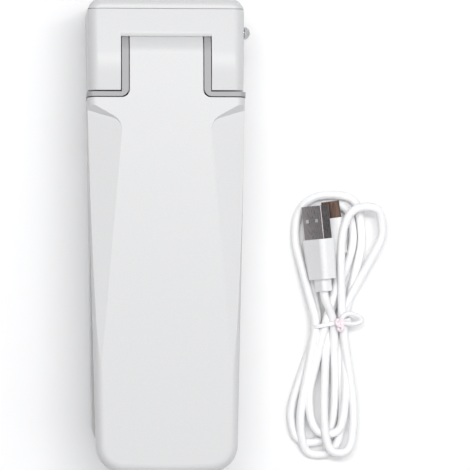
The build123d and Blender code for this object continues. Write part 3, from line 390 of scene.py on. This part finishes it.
# %% [markdown]
# ## Dress the imported pieces
#
# Every imported piece names the finish that it was made with, so the finishes are handed out by that
# name. A piece whose finish has no material yet gets no material and stays plain.

# %% Hand out the finishes
for part in frame["record"]["subparts"]:
    finish = FINISHES.get(part["material_slot"])
    packed = bpy.data.objects[part["node"]]
    for slot in packed.material_slots:
        slot.material = finish

# %% [markdown]
# ## The charging lead
#
# The lead is one length of 3.3 mm cord, wound back and forth into a hank and tied in the middle.
# It could be drawn as a few separate rings, but then it would have no beginning and no end, and
# nobody could tell how long it is. So it is one open curve from the big plug to the small one: each
# pass through the tie has its own place there, and each loop is worked out from where it starts,
# how wide it gets and how far it reaches. Four passes lie on the table and four on top of them.

# %% Places in the tie
CORD_D = 3.3
TIE_Y = -34.6
FLOOR_LAYER = 1.9
UPPER_LAYER = 5.2
LOW = [Vector((x, TIE_Y, FLOOR_LAYER)) for x in (61.6, 64.9, 68.2, 71.5)]
HIGH = [Vector((x, TIE_Y, UPPER_LAYER)) for x in (60.6, 63.9, 67.2, 70.5)]


def loop_out(start, side_a, tip, side_b, end):
    """Guide points of one loop: out from the tie, round its tip and back, without its last point.

    side_a and side_b are the widest places on the way out and back, tip is the middle of the end.
    """
    across = side_b.x - side_a.x
    return [
        start,
        start.lerp(side_a, 0.3),
        start.lerp(side_a, 0.66),
        side_a,
        Vector((side_a.x + 0.05 * across, side_a.y + 0.62 * (tip.y - side_a.y), (side_a.z + tip.z) / 2)),
        tip + Vector((-0.30 * across, 0.06 * (side_a.y - tip.y), 0)),
        tip,
        tip + Vector((0.30 * across, 0.06 * (side_b.y - tip.y), 0)),
        Vector((side_b.x - 0.05 * across, side_b.y + 0.62 * (tip.y - side_b.y), (side_b.z + tip.z) / 2)),
        side_b,
        side_b.lerp(end, 0.34),
        side_b.lerp(end, 0.70),
    ]


print("tie places", len(LOW) + len(HIGH))

# %% Wind the lead
BIG_PLUG_EXIT = Vector((62.86, -21.89, 9.7))
SMALL_PLUG_EXIT = Vector((69.18, -13.23, 5.0))

WINDINGS = [
    # start, widest on the way out, tip, widest on the way back, end
    (HIGH[2], (67.9, -62, 2.4), (59.0, -81.5, 1.8), (50.3, -68.0, 1.8), LOW[0]),
    (LOW[0], (57.0, -6, 1.8), (66.4, 12.2, 1.8), (75.4, -3.5, 1.8), LOW[1]),
    (LOW[1], (62.9, -66, 8.3), (69.2, -85.4, 6.4), (75.2, -67, 5.2), HIGH[3]),
    (HIGH[3], (69.6, -9, 8.4), (79.2, 11.2, 8.4), (86.6, -1.0, 5.4), LOW[2]),
    (LOW[2], (71.2, -64, 1.8), (62.0, -86.3, 1.8), (53.8, -70, 5.0), HIGH[0]),
    (HIGH[0], (51.9, -1.5, 1.8), (67.0, 16.0, 1.8), (79.0, -2.5, 1.8), LOW[3]),
    (LOW[3], (72.0, -58, 5.0), (65.0, -78.0, 5.0), (57.2, -62, 5.0), HIGH[1]),
]
guide = [
    BIG_PLUG_EXIT,
    BIG_PLUG_EXIT + Vector((0.4, -3.4, -0.3)),
    Vector((65.6, -29.4, 7.2)),
]
for start, side_a, tip, side_b, end in WINDINGS:
    guide += loop_out(start, Vector(side_a), Vector(tip), Vector(side_b), end)
guide += [
    HIGH[1],
    Vector((66.4, -26.0, 4.6)),
    SMALL_PLUG_EXIT + Vector((-0.8, -6.0, 0)),
    SMALL_PLUG_EXIT,
]

lead_data = bpy.data.curves.new("charging_lead", "CURVE")
lead_data.dimensions = "3D"
lead_data.bevel_depth = CORD_D / 2 * MM
lead_data.bevel_resolution = 6
lead_data.resolution_u = 8
lead_spline = lead_data.splines.new("NURBS")
lead_spline.points.add(len(guide) - 1)
for point, place in zip(lead_spline.points, guide):
    point.co = (*(place * MM), 1)
lead_spline.order_u = 3
lead_spline.use_endpoint_u = True
charging_lead = bpy.data.objects.new("charging_lead", lead_data)
bpy.context.scene.collection.objects.link(charging_lead)
lead_data.materials.append(white_cord)

# %% An unbevelled mesh copy of the lead
bare = lead_data.copy()
bare.bevel_depth = 0
bare_object = bpy.data.objects.new("bare_lead", bare)
bare_mesh = bpy.data.meshes.new_from_object(bare_object)
bpy.data.objects.remove(bare_object)

# %% [markdown]
# ## The tie
#
# The hank is held by a soft flattened strip: one band round the strands, a small knot on top and a
# loop of spare strip lying to the right. A torus would do for the band, but the strands make it
# nearly flat above and below, so it is a closed curve through the corners of that bundle. The knot
# is the classic three-lobed one, drawn by its formula, and its end has taken on a pale pink stain.

# %% Strip finish
tie_strip = grained(
    "tie_strip", (0.86, 0.85, 0.855), (0.92, 0.915, 0.92), 0.5, 0.02, 0.5, 0.0, (1, 2, 1))
tie_knot = grained("tie_knot", (0.92, 0.76, 0.81), (0.94, 0.87, 0.895), 1.4, 0.02, 0.5)


def strip_curve(name, places, radius, flat_half, closed, finish):
    """A soft strip along guide points: a round bevel, widened by flat_half each way."""
    data = bpy.data.curves.new(name, "CURVE")
    data.dimensions = "3D"
    data.bevel_depth = radius * MM
    data.extrude = flat_half * MM
    data.bevel_resolution = 3
    data.resolution_u = 8
    spline = data.splines.new("NURBS")
    spline.points.add(len(places) - 1)
    for point, place in zip(spline.points, places):
        point.co = (*(Vector(place) * MM), 1)
    spline.order_u = 3
    spline.use_cyclic_u = closed
    spline.use_endpoint_u = not closed
    piece = bpy.data.objects.new(name, data)
    bpy.context.scene.collection.objects.link(piece)
    data.materials.append(finish)
    return piece


print("strip finishes ready")

# %% Band, knot and spare loop
TIE_CENTRE = Vector((66.2, TIE_Y, 0))
BAND_HALF = 7.7
BAND_TOP = 7.9
BAND_TURN = math.radians(11.0)   # it crosses the strands a little askew

band_places = [
    (-BAND_HALF, 1.4), (-BAND_HALF, 5.6), (-BAND_HALF + 2.2, BAND_TOP), (0, BAND_TOP),
    (BAND_HALF - 2.2, BAND_TOP), (BAND_HALF, 5.6), (BAND_HALF, 1.4), (BAND_HALF - 1.6, 0.42),
    (0, 0.42), (-BAND_HALF + 1.6, 0.42),
]
tie_band = strip_curve("tie_band", [(x, z, 0) for x, z in band_places], 0.36, 0.45, True, tie_strip)
tie_band.location = TIE_CENTRE * MM
tie_band.rotation_euler = (math.radians(90), 0, BAND_TURN)

KNOT_CENTRE = Vector((69.4, -34.8, 9.0))
KNOT_SIZE = 0.85
knot_places = []
for step in range(24):
    t = 2 * math.pi * step / 24
    lobe = Vector((
        math.sin(t) + 2 * math.sin(2 * t),
        1.25 * (math.cos(t) - 2 * math.cos(2 * t)),
        -math.sin(3 * t)))
    knot_places.append(KNOT_CENTRE + Vector((
        lobe.x * KNOT_SIZE * 0.72,
        lobe.y * KNOT_SIZE * 0.8,
        lobe.z * 0.55)))
knot = strip_curve("tie_knot", knot_places, 0.62, 0.0, True, tie_knot)

spare_places = [
    (69.6, -34.0, 9.1), (70.2, -31.6, 8.6), (73.2, -30.4, 7.9), (76.4, -31.5, 7.0), (78.6, -33.4, 6.3),
    (75.8, -34.8, 6.9), (72.6, -34.6, 7.9),
]
spare_loop = strip_curve("tie_spare_loop", spare_places, 0.95, 0.0, True, tie_strip)
for piece in (tie_band, knot, spare_loop):
    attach(piece, "base")
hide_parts("cable_tie")
print("tie band", round(2 * BAND_HALF, 1), "mm across")

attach(charging_lead, "base")
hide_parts("cable_hank", "cable_lead_a", "cable_lead_micro")

# %% [markdown]
# ## Small things on the plugs and in the lamp
#
# The big plug's sheet-metal shell has two square latch marks pressed into its wide face, and the
# small plug's shell is painted darker and browner: painted reflection in its metal, not wear. The
# marks are tiny plates with bevelled edges that follow the plug's own tilt. In the clear lamp stand
# a bright cup and its post, which is what shows through the dome.

# %% Latch marks on the big plug
def small_plate(name, centre, across, along, size, thickness, finish, edge=0.12):
    """A thin plate with bevelled edges, lying in the plane of two directions."""
    normal = across.cross(along).normalized()
    corners_flat = []
    for lift, shrink in ((0.0, 0.0), (thickness, edge)):
        for side_a, side_b in ((-1, -1), (1, -1), (1, 1), (-1, 1)):
            corners_flat.append((centre + normal * lift + across * side_a * (size[0] / 2 - shrink)
                                 + along * side_b * (size[1] / 2 - shrink)) * MM)
    faces = [(3, 2, 1, 0), (4, 5, 6, 7)] + [(k, (k + 1) % 4, 4 + (k + 1) % 4, 4 + k) for k in range(4)]
    mesh = bpy.data.meshes.new(name)
    mesh.from_pydata(corners_flat, [], faces)
    mesh.materials.append(finish)
    plate = bpy.data.objects.new(name, mesh)
    bpy.context.scene.collection.objects.link(plate)
    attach(plate, "base")
    return plate


latch_metal = grained("latch_metal", (0.55, 0.54, 0.55), (0.75, 0.74, 0.75), 0.3, 0.004, 0.35, 1.0)
BIG_ROOT = Vector((60.7, -1.6, 9.7))
BIG_ALONG = Vector((-3.6, 33.8, 0)).normalized()
BIG_ROLL = math.radians(57)
big_level = Vector((BIG_ALONG.y, -BIG_ALONG.x, 0))
BIG_ACROSS = big_level * math.cos(BIG_ROLL) + Vector((0, 0, 1)) * math.sin(BIG_ROLL)
BIG_FACE = BIG_ACROSS.cross(BIG_ALONG)
SHELL_HALF_THICKNESS = 2.25
MARK_ALONG = 7.2                 # from the shell's root
MARK_ASIDE = 2.9
MARK_SIZE = (1.7, 1.3)
MARK_PROUD = 0.08
for place, offset in (("near", -MARK_ASIDE), ("far", MARK_ASIDE)):
    spot = BIG_ROOT + BIG_ALONG * MARK_ALONG + BIG_ACROSS * offset + BIG_FACE * SHELL_HALF_THICKNESS
    small_plate("latch_mark_" + place, spot, BIG_ACROSS, BIG_ALONG, MARK_SIZE, MARK_PROUD, latch_metal)
print("latch marks", 2)

# %% Painted reflection on the small plug's shell
# Painted reflection: the dark brown base colour stands in for what the shell's metal reflects.
painted_reflection_nickel = grained(
    "painted_reflection_nickel", (0.06, 0.039, 0.03), (0.14, 0.094, 0.073), 1.3, 0.006, 0.34, 1.0, (0.6, 4, 1))
for slot in bpy.data.objects["micro_usb_shell"].material_slots:
    slot.material = painted_reflection_nickel
print("small plug's shell worn brown")

# %% Cup and post in the lamp
LED_LOW, LED_HIGH = (Vector(c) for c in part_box("indicator_led"))
lamp_mid = (LED_LOW + LED_HIGH) / 2
CUP_RINGS = [(0.0, 0.45), (1.2, 0.45), (1.3, 1.0), (2.1, 1.35), (2.1, 1.1), (1.6, 0.5), (1.55, 0.0)]
CUP_SIDES = 20
CUP_BACK = 4.3                   # from the top of the dome to the foot of the post
cup_start = LED_HIGH.x - CUP_BACK * MM
cup_points = []
for reach, radius in CUP_RINGS:
    for k in range(CUP_SIDES):
        turn = 2 * math.pi * k / CUP_SIDES
        cup_points.append((cup_start + reach * MM, lamp_mid.y + radius * MM * math.cos(turn),
                           lamp_mid.z + radius * MM * math.sin(turn)))
cup_faces = [
    (r * CUP_SIDES + k, r * CUP_SIDES + (k + 1) % CUP_SIDES, (r + 1) * CUP_SIDES + (k + 1) % CUP_SIDES,
     (r + 1) * CUP_SIDES + k)
    for r in range(len(CUP_RINGS) - 1) for k in range(CUP_SIDES)]
cup_mesh = bpy.data.meshes.new("lamp_cup")
cup_mesh.from_pydata(cup_points, [], cup_faces)
cup_mesh.materials.append(latch_metal)
lamp_cup = bpy.data.objects.new("lamp_cup", cup_mesh)
bpy.context.scene.collection.objects.link(lamp_cup)
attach(lamp_cup, "base")
print("lamp cup at", [round(c / MM, 1) for c in lamp_mid])
